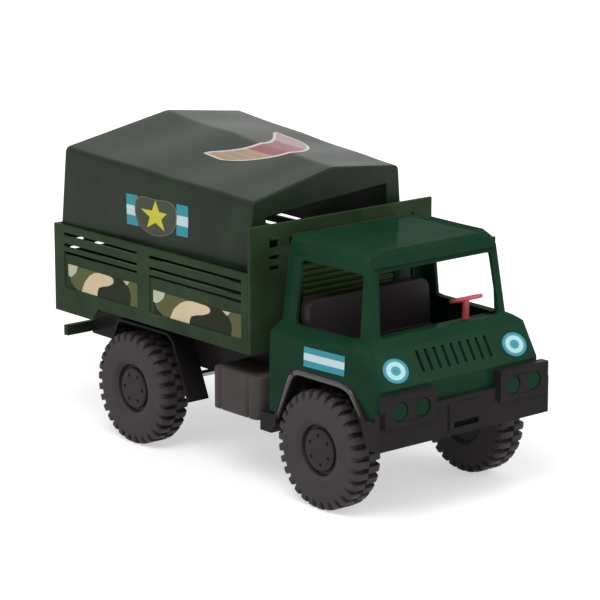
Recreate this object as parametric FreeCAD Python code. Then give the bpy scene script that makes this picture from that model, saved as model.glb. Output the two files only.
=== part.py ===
"""Toy military cargo truck in moulded plastic: a cab, a slatted bed with a loose canopy, and two wheelsets.

Millimetres. +Z up, the front faces -Y, +X is the truck's left. The origin is on the ground, in the
middle of the truck's length and width. Each sub-part is written to parts/NAME.step.
"""
import FreeCAD, Part
import math
import os
from FreeCAD import Vector

# ---------------------------------------------------------------- driving sizes
truck_length = 386.0
cab_half = 84.0                 # half of the cab's width
bed_half = 89.5                 # half of the bed's width
wheelbase = 220.0
wheel_radius = 44.0             # to the lug tips
wall = 2.5                      # moulded wall
seat_gap = 0.3                  # between pieces that only rest against each other
run_gap = 0.08                  # axle in its bearing, on the radius
round_steps = 4                 # facets of a rounded corner

# wheels and axles
tyre_width = 24.0
tyre_margin = 0.5               # the tyres' outer faces lie this far inside the cab's sides
lug_height = 3.6
lug_count = 30
lug_share = 0.56                # of the pitch that a lug fills
lug_turns = (0.75, 0.25)        # of the pitch: how far each row, inner and outer, is turned
lug_shoulder = 3.0              # the lugs stop this far inside the tyre's faces
lug_gap = 0.8                   # between the two rows
shoulder_step = 0.5             # the shoulder and the gap's floor lie this deep under the foot of the lugs
shoulder_sides = 30
bead_sides = 20
bead_height = 3.0
side_height = 18.0              # flat of the sidewall
rim_radius = 19.0
rim_inset = 2.5                 # the rim is this much narrower than the tyre, each side
rim_recess = 3.0                # the rim's ring lies this deep behind its disc
hub_disc_radius = 15.7
hub_boss_radius = 6.0
axle_radius = 2.5
axle_seat = 9.0                 # length of axle that is pressed into each rim
nose_to_front_axle = 69.5       # lamp housings' face to the front axle

# chassis
rail_clear = 7.0                # between the tyres and the rails
rail_width = 5.0
rail_low_z = 66.0
rail_front_top_z = 90.0
bearing_in = 6.0                # the bearing plates' middles lie this far inside the rails' middles
bearing_width = 7.0
bearing_radius = 8.0
cross_width = 8.0
cross_low_z = 78.0
cross_high_z = 86.0
tongue_low_z = 57.5             # the rails' tongues that carry the bumper
rail_step = 6.0                 # the rails' high rear part starts this far behind the cab

# bumper
bumper_low_z = 57.0
bumper_high_z = 84.5
bumper_thick = 4.0
cheek_length = 20.0             # the side returns reach this far back at their tops
cheek_slope = 7.0               # and this much less at their feet
cheek_high_z = 78.0
housing_share = 0.375           # of the cab's half width: the lamp housings' inner ends
housing_margin = 4.0            # from the cab's side to the lamp housings' outer ends
housing_low_z = 73.5
housing_high_z = 97.0
lamp_hole_radius = 7.0
lamp_radius = 6.6
lamp_recess = 1.0               # behind the housings' face
lamp_shares = (0.268, 0.701)    # of a housing's width
lamp_z = 84.5
plate_half = 17.0               # raised plate in the middle
plate_low_z = 59.5
plate_high_z = 80.5
plate_proud = 1.2
slot_half = 12.0
slot_low_z = 62.5
slot_high_z = 67.0

# cab; each "back" is measured from the lamp housings' face
nose_back = 7.3
cab_back = 121.0
cab_low_z = 63.5
# the cab's plan, level by level, columns: z; how far back its front and its knee lie; how far inside the
# cab's half width its front, knee and rear lie; radius of its front corners
cab_levels = (
    (cab_low_z, nose_back, 31.5, 6.5, 0.0, 0.0, 7.5),
    (99.0, nose_back, 31.5, 6.5, 0.0, 0.0, 7.5),
    (122.8, 22.0, 37.0, 7.0, 1.0, 1.0, 7.0),
    (127.3, 26.2, 45.0, 12.0, 10.0, 8.2, 6.0),
    (130.0, 29.8, 50.0, 17.5, 16.5, 12.5, 4.5),
    (180.0, 36.9, 50.0, 20.5, 20.2, 18.8, 5.0),
    (186.0, 37.6, 54.0, 22.8, 22.4, 20.3, 7.0),
    (190.0, 41.0, 56.0, 26.0, 25.3, 22.5, 9.0),
)
brow_back = 34.5
brow_deep = 4.5
brow_in = 24.0                  # inside the cab's half width
brow_round = 4.0
brow_low_z = 179.5
brow_high_z = 186.0
screen_low = (25.5, 129.5)      # columns: inside the cab's half width, z
screen_top = (29.4, 175.5)
screen_deep = 45.0              # the windscreen is cut this far back
window_front_back = 41.5
window_rear_back = 107.0
window_low_z = 128.0
window_top_z = 175.0
window_round = 3.0
rear_window_in = 30.0           # inside the cab's half width
grille_count = 9
grille_pitch = 8.3
grille_width = 2.6
grille_low_z = 105.5
grille_high_z = 119.5
shelf_back = 49.5               # the dashboard shelf's rear edge
shelf_z = 126.0
shelf_thick = 2.5

# front fenders, columns: side of the axle (-1 front, 1 rear), how far past the wheel's radius, z; from the
# bumper's cheek over the wheel to the rear foot
fender_line = (
    (-1, 8.5, 78.0), (-1, -5.5, 99.0), (-1, -17.0, 101.5), (1, -20.0, 101.5), (1, -13.5, 96.0), (1, 2.5, 61.0),
)
fender_round = 7.0
fender_band = 5.5               # flange round the arch
liner_clear = 1.5               # between the rails and the liner's inner edge
fender_foot_deep = 16.0
fender_foot = (
    (1, 0.2, 60.0), (1, 1.1, 54.3), (1, 5.6, 46.5), (1, 18.1, 46.5), (1, 18.1, 60.5), (1, 2.5, 61.0),
)

# rear fenders, columns as above; from the front foot over the wheel to the rear foot
rear_fender_line = (
    (-1, 14.5, 43.5), (-1, -5.0, 88.0), (-1, -12.0, 93.0), (1, -13.0, 93.0), (1, 1.5, 63.0),
)
arch_clear = 5.0                # between the rear fenders' crowns and the wheels
rear_fender_round = 6.0
rear_fender_in = 12.0           # inside the cab's half width

# battery boxes
battery_gap = 2.4               # behind the front fender's foot
battery_length = 52.5
battery_low_z = 51.5
battery_high_z = 85.0
battery_round = 6.0
battery_margin = 7.5            # beside the proud panel
battery_proud = 1.2

# bed
bed_front = 66.5                # behind the front axle
bed_low_z = 102.0
bed_floor_thick = 3.0
side_thick = 3.0
side_high_z = 162.0
side_rail_high = 10.0           # height of the bottom rail
panel_high_z = 138.8
panel_recess = 1.2
slats = ((141.3, 144.8), (147.6, 153.7), (156.4, side_high_z))     # columns: low z, high z
front_post = 10.5               # widths of the posts on the sides
mid_post = 15.0
rear_post = 13.0
mid_post_share = 0.496          # of the bed's length: where the middle post starts
skirt_low_z = 92.0
skirt_length = 49.0
skirt_slope = 8.0
headboard_high_z = 196.5
head_bars = ((165.5, 170.5), (173.2, 178.8), (187.0, headboard_high_z))  # columns: low z, high z
head_panel_z = 162.5
head_post = (37.5, 28.0)        # inside the bed's half width: the inner posts' near and far edges
head_end = 18.5                 # width of the end posts

# canopy
canopy_low_z = 158.5
canopy_wall = 2.0
canopy_front = 15.0             # behind the bed's front
canopy_rear = 4.5               # before the bed's rear, at the hem
canopy_lean = 12.0              # the rear end leans forward by this much from the hem to the right eave
# the canopy's front and rear end, columns: how far inside the bed's half width the right hem, right eave,
# left eave and left hem lie; the ridge's place left of the middle; heights of right eave, ridge and left eave
canopy_ends = (
    (12.0, 15.5, 21.0, 16.0, 2.5, 211.0, 228.0, 221.3),
    (4.0, 0.8, 3.1, 4.0, 8.5, 224.6, 243.8, 234.5),
)
eave_round = 5.0
ridge_round = 20.0
canopy_frame = 13.0             # margin beside the end openings
canopy_open_drop = 13.0         # from the eave down to the opening
rest_length = 12.0              # ledges inside the bed's sides that carry the canopy
rest_thick = 3.0
rest_rear = 8.0                 # from the rear ledges to the canopy's rear

# seat and steering
seat_clear = 1.0                # the cushion is this much narrower than the space between the rails' outsides
seat_front_back = 56.0
seat_rear_back = 105.0
seat_cushion_z = 112.0
seat_back_in = (18.0, 32.5)     # the backrest's right and left ends, inside the cab's half width
seat_back_low_z = 103.0
seat_high_z = 146.5
seat_back_thick = 10.0
seat_lean = 3.0
seat_round = 8.0
steer_in = 44.0                 # inside the cab's half width
steer_back = 46.3
steer_z = 141.0
steer_radius = 12.7
steer_wire = 1.7
steer_wire_sides = 8
steer_tilt = 18.0               # degrees, front edge up
column_radius = 2.6

# rear bar
bar_in = 12.5                   # inside the bed's half width
bar_low_z = 67.5
bar_high_z = 76.0
bar_thick = 5.0
bar_clear = 2.0                 # between the bed and the bar

# ---------------------------------------------------------------- places that follow
front_y = -truck_length / 2
rear_y = truck_length / 2
front_axle_y = front_y + nose_to_front_axle
rear_axle_y = front_axle_y + wheelbase
axle_z = max(z for _, _, z in rear_fender_line) - arch_clear - wheel_radius
ground_z = axle_z - wheel_radius
cab_y = front_y + nose_back
cab_end_y = front_y + cab_back
bumper_back_y = cab_y - seat_gap
bumper_y = bumper_back_y - bumper_thick
tyre_face_x = cab_half - tyre_margin
tyre_inner_x = tyre_face_x - tyre_width
carcass_radius = wheel_radius - lug_height
axle_half = tyre_inner_x + rim_inset + axle_seat
rail_out_x = tyre_inner_x - rail_clear
rail_in_x = rail_out_x - rail_width
rail_x = (rail_in_x + rail_out_x) / 2
bearing_x = rail_x - bearing_in
housing_in_x = cab_half * housing_share
housing_out_x = cab_half - housing_margin
lamp_xs = [housing_in_x + share * (housing_out_x - housing_in_x) for share in lamp_shares]
seat_low_z = rail_front_top_z + seat_gap
seat_half = rail_out_x - seat_clear
bed_y = front_axle_y + bed_front
bed_end_y = rear_y - bar_thick - bar_clear
bed_length = bed_end_y - bed_y
bed_floor_z = bed_low_z + bed_floor_thick
mid_post_y = bed_y + bed_length * mid_post_share
post_spans = (
    (bed_y + side_thick, bed_y + front_post),
    (mid_post_y, mid_post_y + mid_post),
    (bed_end_y - rear_post, bed_end_y),
)
canopy_y = bed_y + canopy_front
canopy_end_y = bed_end_y - canopy_rear
canopy_hem_x = bed_half - canopy_ends[0][0]
rest_ys = (canopy_y + seat_gap, mid_post_y, canopy_end_y - rest_rear - rest_length)


# ---------------------------------------------------------------- helpers
def box(x0, x1, y0, y1, z0, z1):
    return Part.makeBox(x1 - x0, y1 - y0, z1 - z0, Vector(x0, y0, z0))


def side_box(side, x0, x1, y0, y1, z0, z1):
    """A box on one side of the truck: x0 and x1 are distances from the middle."""
    low, high = sorted((side * x0, side * x1))
    return box(low, high, y0, y1, z0, z1)


def prism(points, axis, start, end):
    """Extrudes a closed outline along an axis; the outline's columns are the other two axes, in order."""
    corner = {
        "x": lambda a, b: Vector(start, a, b),
        "y": lambda a, b: Vector(a, start, b),
        "z": lambda a, b: Vector(a, b, start),
    }[axis]
    way = {"x": Vector(1, 0, 0), "y": Vector(0, 1, 0), "z": Vector(0, 0, 1)}[axis]
    corners = [corner(a, b) for a, b in points]
    face = Part.Face(Part.makePolygon(corners + corners[:1]))
    return face.extrude(way * (end - start))


def rod(radius, x0, x1, y, z):
    """A round bar along X."""
    return Part.makeCylinder(radius, x1 - x0, Vector(x0, y, z), Vector(1, 0, 0))


def mirrored(shape):
    return shape.mirror(Vector(0, 0, 0), Vector(1, 0, 0))


def fused(pieces):
    return pieces[0].fuse(pieces[1:]).removeSplitter()


def band(points, thick):
    """The outline of a band of even thickness along an open line, on the line's right-hand side."""
    inner = []
    for i, here in enumerate(points):
        normals = []
        for a, b in zip(points[max(i - 1, 0):i + 1], points[max(i, 1):i + 2]):
            length = math.hypot(b[0] - a[0], b[1] - a[1])
            normals.append(((b[1] - a[1]) / length, (a[0] - b[0]) / length))
        first, last = normals[0], normals[-1]
        scale = thick / (1 + first[0] * last[0] + first[1] * last[1])
        inner.append((here[0] + (first[0] + last[0]) * scale, here[1] + (first[1] + last[1]) * scale))
    return list(points) + inner[::-1]


def about_wheel(points, axle_y):
    """The y and z of points given past the wheel's radius."""
    return [(axle_y + side * (wheel_radius + out), z) for side, out, z in points]


def corner_arc(before, here, after, radius):
    """The points of the arc that rounds one corner of an outline."""
    if radius <= 0:
        return [tuple(here[:2])]
    ways = []
    for other in (before, after):
        length = math.hypot(other[0] - here[0], other[1] - here[1])
        ways.append(((other[0] - here[0]) / length, (other[1] - here[1]) / length))
    (a0, b0), (a1, b1) = ways
    half = math.acos(a0 * a1 + b0 * b1) / 2
    out = radius / math.sin(half) / math.hypot(a0 + a1, b0 + b1)
    centre = (here[0] + (a0 + a1) * out, here[1] + (b0 + b1) * out)
    reach = radius / math.tan(half)
    start = math.atan2(here[1] + b0 * reach - centre[1], here[0] + a0 * reach - centre[0])
    end = math.atan2(here[1] + b1 * reach - centre[1], here[0] + a1 * reach - centre[0])
    sweep = math.remainder(end - start, 2 * math.pi)
    angles = [start + sweep * i / round_steps for i in range(round_steps + 1)]
    return [(centre[0] + radius * math.cos(angle), centre[1] + radius * math.sin(angle)) for angle in angles]


def rounded(corners):
    """A closed outline with rounded corners; columns: the two axes, radius."""
    points = []
    for before, here, after in zip(corners[-1:] + corners[:-1], corners, corners[1:] + corners[:1]):
        points += corner_arc(before, here, after, here[2])
    return points


def rounded_line(points, radius):
    """An open line with its inner corners rounded."""
    out = [points[0]]
    for before, here, after in zip(points, points[1:], points[2:]):
        out += corner_arc(before, here, after, radius)
    return out + [points[-1]]


def flat_face(corners):
    return Part.Face(Part.makePolygon(corners + corners[:1]))


def frustum(sides, y, *ends):
    """A many-sided cone frustum about the axle line at y; each end is (x, radius)."""
    angles = [2 * math.pi * (i + 0.5) / sides for i in range(sides)]
    rings = []
    for x, radius in sorted(ends):
        rings.append([Vector(x, y + radius * math.cos(a), axle_z + radius * math.sin(a)) for a in angles])
    low, high = rings
    sections = zip(low, low[1:] + low[:1], high[1:] + high[:1], high)
    faces = [flat_face(low), flat_face(high)] + [flat_face(list(corners)) for corners in sections]
    return Part.makeSolid(Part.makeShell(faces))


# ---------------------------------------------------------------- wheels and axles
def turned(profile, y):
    """Turns a closed (x, radius) outline about the axle line at y."""
    corners = [Vector(x, y, axle_z + r) for x, r in profile]
    face = Part.Face(Part.makePolygon(corners + corners[:1]))
    return face.revolve(Vector(0, y, axle_z), Vector(1, 0, 0), 360)


def lug_row(x0, x1, y, turn):
    """One row of lugs on the carcass, as wide as the row."""
    pitch = 2 * math.pi / lug_count
    half = lug_share * pitch / 2
    steps = ((-half, carcass_radius), (-half, wheel_radius), (half, wheel_radius), (half, carcass_radius))
    outline = []
    for i in range(lug_count):
        for offset, radius in steps:
            angle = (i + turn) * pitch + offset
            outline.append((y + radius * math.cos(angle), axle_z + radius * math.sin(angle)))
    return prism(outline, "x", x0, x1)


def tyre(y):
    """Two staggered rows of lugs, sloping shoulders and a flat side; the bore's facets touch the rim."""
    inner, outer = tyre_inner_x, tyre_face_x
    middle = (inner + outer) / 2
    low_x, high_x = middle - lug_gap / 2, middle + lug_gap / 2
    bore = rim_radius / math.cos(math.pi / bead_sides)
    base = carcass_radius - shoulder_step
    pieces = [
        lug_row(inner + lug_shoulder, low_x, y, lug_turns[0]),
        lug_row(high_x, outer - lug_shoulder, y, lug_turns[1]),
        frustum(shoulder_sides, y, (low_x, base), (high_x, base)),
    ]
    cuts = [frustum(bead_sides, y, (inner, bore), (outer, bore))]
    for face, way in ((inner, 1), (outer, -1)):
        pieces.append(frustum(shoulder_sides, y, (face + way * lug_shoulder, base),
                              (face, rim_radius + side_height)))
        cuts.append(frustum(bead_sides, y, (face, bore + bead_height), (face + way * rim_inset, bore)))
    return fused(pieces).cut(fused(cuts)).removeSplitter()


def rim(y):
    """The wheel's centre: a ring in the tyre, a disc proud of it, and a boss that reaches in to the bearing."""
    inner, outer = tyre_inner_x + rim_inset, tyre_face_x - rim_inset
    ring = outer - rim_recess
    boss = bearing_x + bearing_width / 2 + seat_gap
    profile = (
        (boss, 0), (outer, 0), (outer, hub_disc_radius), (ring, hub_disc_radius), (ring, rim_radius),
        (inner, rim_radius), (inner, hub_boss_radius), (boss, hub_boss_radius),
    )
    return turned(profile, y).cut(rod(axle_radius, boss, axle_half, y, axle_z))


def axle(y):
    return rod(axle_radius, -axle_half, axle_half, y, axle_z)


# ---------------------------------------------------------------- chassis
def bearing(side, y):
    """A plate that hangs from the rail and holds the axle."""
    x0, x1 = sorted((side * (bearing_x - bearing_width / 2), side * (bearing_x + bearing_width / 2)))
    hanger = (
        (y - bearing_radius, axle_z), (y + bearing_radius, axle_z),
        (y + 2 * bearing_radius, rail_low_z), (y + 2 * bearing_radius, cross_high_z),
        (y - 2 * bearing_radius, cross_high_z), (y - 2 * bearing_radius, rail_low_z),
    )
    return prism(hanger, "x", x0, x1).fuse(rod(bearing_radius, x0, x1, y, axle_z))


def chassis_frame():
    """Two rails, low under the cab and high under the bed, with cross members, bearings and end tongues."""
    head_y = cab_y + wall + seat_gap
    step_y = cab_end_y + rail_step
    tail_y = rear_y - bar_thick
    pieces = []
    for side in (-1, 1):
        pieces.append(side_box(side, rail_in_x, rail_out_x, head_y, step_y, rail_low_z, rail_front_top_z))
        pieces.append(side_box(side, rail_in_x, rail_out_x, step_y, bed_end_y, rail_low_z, bed_low_z))
        pieces.append(side_box(side, rail_in_x, rail_out_x, bumper_back_y, head_y + cross_width,
                               tongue_low_z, cab_low_z - seat_gap))
        pieces.append(side_box(side, rail_in_x, rail_out_x, head_y, head_y + cross_width,
                               tongue_low_z, rail_low_z))
        pieces.append(side_box(side, rail_in_x, rail_out_x, bed_end_y, tail_y, rail_low_z, cross_low_z))
        pieces += [bearing(side, y) for y in (front_axle_y, rear_axle_y)]
    cross_ys = (
        head_y, front_axle_y - cross_width / 2, cab_end_y - cross_width, (bed_y + rear_axle_y) / 2,
        rear_axle_y - cross_width / 2, bed_end_y - cross_width,
    )
    pieces += [box(-rail_x, rail_x, y, y + cross_width, cross_low_z, cross_high_z) for y in cross_ys]
    frame = fused(pieces)
    for y in (front_axle_y, rear_axle_y):
        frame = frame.cut(rod(axle_radius + run_gap, -cab_half, cab_half, y, axle_z))
    return frame


def front_fender():
    """A black arch liner with a flange in the cab side's cut-out, and a foot behind the wheel."""
    corners = about_wheel(fender_line, front_axle_y)
    line = rounded_line(corners, fender_round)
    crown_y, crown_z = corners[2]
    liner_x = rail_out_x + liner_clear
    fender = fused([
        prism(band(line, fender_band), "x", cab_half - wall, cab_half),
        prism(band(line, wall), "x", liner_x, cab_half),
        box(rail_out_x, liner_x + wall, crown_y, corners[3][0], rail_low_z + wall, crown_z),
        prism(about_wheel(fender_foot, front_axle_y), "x", cab_half - fender_foot_deep, cab_half),
    ])
    return fender.cut(box(0, cab_half, front_y, front_axle_y - wheel_radius, axle_z, cheek_high_z))


def rear_fender():
    """A black arch over the rear wheel, its front leg running down beside the battery box."""
    line = rounded_line(about_wheel(rear_fender_line, rear_axle_y), rear_fender_round)
    return prism(band(line, wall), "x", rail_out_x, cab_half - rear_fender_in)


def battery_box():
    """A box with rounded upright corners and a proud middle panel, fixed to the rail."""
    y0 = max(y for y, _ in about_wheel(fender_foot, front_axle_y)) + battery_gap
    y1 = y0 + battery_length
    body = box(rail_out_x, cab_half - battery_proud, y0, y1, battery_low_z, battery_high_z)
    outer = [e for e in body.Edges if e.BoundBox.ZLength > wall and e.BoundBox.XMin > rail_out_x + wall]
    body = body.makeFillet(battery_round, outer)
    panel = box(cab_half - battery_round, cab_half, y0 + battery_margin, y1 - battery_margin,
                battery_low_z, battery_high_z)
    hollow = box(rail_out_x + wall, cab_half - battery_round - wall, y0 + wall, y1 - wall,
                 battery_low_z, battery_high_z - wall)
    return body.fuse(panel).removeSplitter().cut(hollow)


def front_bumper():
    """The bumper with its side returns, two raised lamp housings with round holes, and a slotted plate."""
    half = tyre_face_x
    pieces = [
        box(-half, half, bumper_y, bumper_back_y, bumper_low_z, bumper_high_z),
        box(-plate_half, plate_half, bumper_y - plate_proud, bumper_back_y, plate_low_z, plate_high_z),
    ]
    cheek = (
        (bumper_y, bumper_low_z), (bumper_y + cheek_length - cheek_slope, bumper_low_z),
        (bumper_y + cheek_length, cheek_high_z), (bumper_y, cheek_high_z),
    )
    for side in (-1, 1):
        pieces.append(prism(cheek, "x", *sorted((side * (half - bumper_thick), side * half))))
        pieces.append(side_box(side, housing_in_x, housing_out_x, front_y, bumper_back_y,
                               housing_low_z, housing_high_z))
    bumper = fused(pieces)
    for x, side in lamp_places():
        start = Vector(side * x, front_y - wall, lamp_z)
        bumper = bumper.cut(Part.makeCylinder(lamp_hole_radius, 2 * cheek_length, start, Vector(0, 1, 0)))
    return bumper.cut(box(-slot_half, slot_half, front_y, cab_y, slot_low_z, slot_high_z))


# ---------------------------------------------------------------- cab
def lamp_places():
    """Each lamp: its distance from the middle, and its side."""
    return [(x, side) for x in lamp_xs for side in (-1, 1)]


def cab_form(inset):
    """The cab as a closed form, moved inwards and down by inset; 0 gives the outside."""
    sections = []
    for z, front, knee, front_in, knee_in, rear_in, radius in cab_levels:
        right = [
            (cab_half - front_in - inset, front_y + front + inset, radius - inset),
            (cab_half - knee_in - inset, front_y + knee, 0.0),
            (cab_half - rear_in - inset, cab_end_y - inset, 0.0),
        ]
        outline = rounded(right + [(-x, y, r) for x, y, r in right[::-1]])
        corners = [Vector(x, y, z - inset) for x, y in outline]
        sections.append(Part.makePolygon(corners + corners[:1]))
    return Part.makeLoft(sections, True, True)


def opening(low, high, axis, start, end):
    """A rounded window to cut along an axis; its foot and its top are two places and a height each."""
    corners = [(low[0], low[2]), (low[1], low[2]), (high[1], high[2]), (high[0], high[2])]
    return prism(rounded([(a, z, window_round) for a, z in corners]), axis, start, end)


def cab_shell():
    """The cab's walls, open at the foot: windows, arches and grille cut, the shelf and the lamps added."""
    screen_foot, screen_head = cab_half - screen_low[0], cab_half - screen_top[0]
    rear_window = cab_half - rear_window_in
    cut_x = cab_half + wall
    window_y, window_end_y = front_y + window_front_back, front_y + window_rear_back
    arch = rounded_line(about_wheel(fender_line, front_axle_y), fender_round)
    low_z = cab_low_z - wall
    arch_outline = [(front_y, low_z), (front_y, arch[0][1]), *arch, (arch[-1][0], low_z)]
    cuts = [
        opening((-screen_foot, screen_foot, screen_low[1]), (-screen_head, screen_head, screen_top[1]),
                "y", front_y, front_y + screen_deep),
        opening((window_y, window_end_y, window_low_z), (window_y, window_end_y, window_top_z),
                "x", -cut_x, cut_x),
        opening((-rear_window, rear_window, window_low_z), (-rear_window, rear_window, window_top_z),
                "y", cab_end_y - 2 * wall, cab_end_y + wall),
        box(-rail_out_x - wall, rail_out_x + wall, cab_end_y - 2 * wall, cab_end_y + wall,
            low_z, rail_front_top_z + seat_gap),
    ]
    for side in (-1, 1):
        cuts.append(prism(arch_outline, "x", *sorted((side * (rail_out_x + wall), side * cut_x))))
    for i in range(grille_count):
        x = (i - (grille_count - 1) / 2) * grille_pitch
        cuts.append(box(x - grille_width / 2, x + grille_width / 2, front_y, front_y + window_front_back,
                        grille_low_z, grille_high_z))
    shell = cab_form(0).cut(cab_form(wall)).cut(cuts)
    brow_x, brow_y = cab_half - brow_in, front_y + brow_back
    brow = rounded([
        (-brow_x, brow_y, brow_round), (brow_x, brow_y, brow_round),
        (brow_x, brow_y + brow_deep, 0.0), (-brow_x, brow_y + brow_deep, 0.0),
    ])
    shelf = box(-cab_half, cab_half, cab_y, front_y + shelf_back, shelf_z - shelf_thick, shelf_z)
    added = [prism(brow, "z", brow_low_z, brow_high_z), shelf.common(cab_form(wall / 2))]
    lamp_y = front_y + lamp_recess
    for x, side in lamp_places():
        start = Vector(side * x, lamp_y, lamp_z)
        added.append(Part.makeCylinder(lamp_radius, cab_y + wall / 2 - lamp_y, start, Vector(0, 1, 0)))
    return shell.fuse(added).removeSplitter()


def seat_bench():
    """A moulded bench on the rails: a cushion, and a backrest that reaches over the right-hand fender."""
    y0, y1 = front_y + seat_front_back, front_y + seat_rear_back
    right_x, left_x = -cab_half + seat_back_in[0], cab_half - seat_back_in[1]
    lean_y = y1 + seat_lean
    back = (
        (y1 - seat_back_thick, seat_back_low_z), (y1, seat_back_low_z),
        (lean_y, seat_high_z), (lean_y - seat_back_thick, seat_high_z),
    )
    face = rounded([
        (right_x, seat_back_low_z, 0.0), (left_x, seat_back_low_z, 0.0),
        (left_x, seat_high_z, seat_round), (right_x, seat_high_z, seat_round),
    ])
    backrest = prism(back, "x", right_x, left_x).common(prism(face, "y", y0, lean_y))
    return fused([box(-seat_half, seat_half, y0, y1, seat_low_z, seat_cushion_z), backrest])


def steering_wheel():
    """A ring with two spokes on a column that stands on the cab's shelf."""
    middle = Vector(cab_half - steer_in, front_y + steer_back, steer_z)
    tilt = math.radians(steer_tilt)
    up = Vector(0, math.sin(tilt), math.cos(tilt))
    reach = steer_radius - steer_wire
    corners = []
    for i in range(steer_wire_sides):
        angle = 2 * math.pi * (i + 0.5) / steer_wire_sides
        corners.append(middle + Vector(1, 0, 0) * (reach + steer_wire * math.cos(angle))
                       + up * (steer_wire * math.sin(angle)))
    wheel = Part.Face(Part.makePolygon(corners + corners[:1])).revolve(middle, up, 360)
    foot = Vector(middle.x, middle.y, shelf_z)
    column = Part.makeCylinder(column_radius, steer_z - shelf_z, foot, Vector(0, 0, 1))
    spoke = rod(steer_wire, middle.x - reach, middle.x + reach, middle.y, middle.z)
    return fused([wheel, column, spoke])


# ---------------------------------------------------------------- bed
def bed_side():
    """The right-hand side: posts, slats, a recessed panel, a skirt, and ledges that carry the canopy."""
    x0, x1 = -bed_half, -bed_half + side_thick
    start = bed_y + side_thick
    rest_z = canopy_low_z - seat_gap
    pieces = [
        box(x0, x1, start, bed_end_y, bed_low_z, bed_low_z + side_rail_high),
        box(x0 + panel_recess, x1, start, bed_end_y, bed_low_z, panel_high_z),
    ]
    pieces += [box(x0, x1, start, bed_end_y, low, high) for low, high in slats]
    pieces += [box(x0, x1, y0, y1, bed_low_z, side_high_z) for y0, y1 in post_spans]
    for y in rest_ys:
        pieces.append(box(x1, -canopy_hem_x + canopy_wall, y, y + rest_length, rest_z - rest_thick, rest_z))
    skirt = (
        (bed_end_y - skirt_length, skirt_low_z), (bed_end_y, skirt_low_z), (bed_end_y, bed_low_z),
        (bed_end_y - skirt_length - skirt_slope, bed_low_z),
    )
    pieces.append(prism(skirt, "x", x0, x1))
    return fused(pieces)


def inner_post(side, y0, y1, high_z):
    """One of the two posts between the ends of the headboard and of the tailgate."""
    return side_box(side, bed_half - head_post[0], bed_half - head_post[1], y0, y1, bed_low_z, high_z)


def headboard():
    """The bed's tall front: a panel with two posts, end posts and bars over it."""
    y0, y1 = bed_y, bed_y + side_thick
    pieces = [box(-bed_half, bed_half, y0, y1, bed_low_z, head_panel_z)]
    pieces += [box(-bed_half, bed_half, y0, y1, low, high) for low, high in head_bars]
    for side in (-1, 1):
        pieces.append(inner_post(side, y0, y1, headboard_high_z))
        pieces.append(side_box(side, bed_half - head_end, bed_half, y0, y1, bed_low_z, headboard_high_z))
    return fused(pieces)


def tailgate():
    """The bed's rear board, slatted like the sides, between their ends."""
    half = bed_half - side_thick
    y0, y1 = bed_end_y - side_thick, bed_end_y
    pieces = [
        box(-half, half, y0, y1, bed_low_z, bed_low_z + side_rail_high),
        box(-half, half, y0, y1 - panel_recess, bed_low_z, panel_high_z),
    ]
    pieces += [box(-half, half, y0, y1, low, high) for low, high in slats]
    for side in (-1, 1):
        pieces.append(side_box(side, half - front_post, half, y0, y1, bed_low_z, side_high_z))
        pieces.append(inner_post(side, y0, y1, side_high_z))
    return fused(pieces)


def bed_floor():
    half = bed_half - side_thick
    return box(-half, half, bed_y + side_thick, bed_end_y - side_thick, bed_low_z, bed_floor_z)


# ---------------------------------------------------------------- canopy
def canopy_section(end, y, lean, inset):
    """One end of the canopy: right hem, eave, ridge, left eave, hem; lean is for each millimetre of height."""
    hem_in, eave_in, far_eave_in, far_hem_in, ridge_x, eave_z, ridge_z, far_eave_z = canopy_ends[end]
    low_z = canopy_low_z - 2 * inset
    outline = rounded([
        (-bed_half + hem_in + inset, low_z, 0.0),
        (-bed_half + eave_in + inset, eave_z - inset, eave_round - inset),
        (ridge_x, ridge_z - inset, ridge_round - inset),
        (bed_half - far_eave_in - inset, far_eave_z - inset, eave_round - inset),
        (bed_half - far_hem_in - inset, low_z, 0.0),
    ])
    points = [Vector(x, y - lean * (z - canopy_low_z), z) for x, z in outline]
    return Part.makePolygon(points + points[:1])


def canopy_form(inset):
    """The canopy as a closed form, moved inwards by inset."""
    lean = canopy_lean / (canopy_ends[1][5] - canopy_low_z)
    return Part.makeLoft([
        canopy_section(0, canopy_y + inset, 0.0, inset),
        canopy_section(1, canopy_end_y - inset, lean, inset),
    ], True, True)


def canopy():
    """A thin moulded cover with open ends, each inside a frame."""
    cover = canopy_form(0).cut(canopy_form(canopy_wall))
    low_z = canopy_low_z - canopy_frame
    cuts = (
        (canopy_y - wall, canopy_y + canopy_wall + wall),
        (canopy_end_y - canopy_lean - 2 * canopy_wall - wall, canopy_end_y + wall),
    )
    for end, (y0, y1) in zip(canopy_ends, cuts):
        hem_in, eave_in, far_eave_in, far_hem_in, _, eave_z, _, far_eave_z = end
        outline = [
            (-bed_half + hem_in + canopy_frame, low_z),
            (-bed_half + eave_in + canopy_frame, eave_z - canopy_open_drop),
            (bed_half - far_eave_in - canopy_frame, far_eave_z - canopy_open_drop),
            (bed_half - far_hem_in - canopy_frame, low_z),
        ]
        cover = cover.cut(prism(outline, "y", y0, y1))
    return cover


def rear_bar():
    half = bed_half - bar_in
    return box(-half, half, rear_y - bar_thick, rear_y, bar_low_z, bar_high_z)


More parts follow.
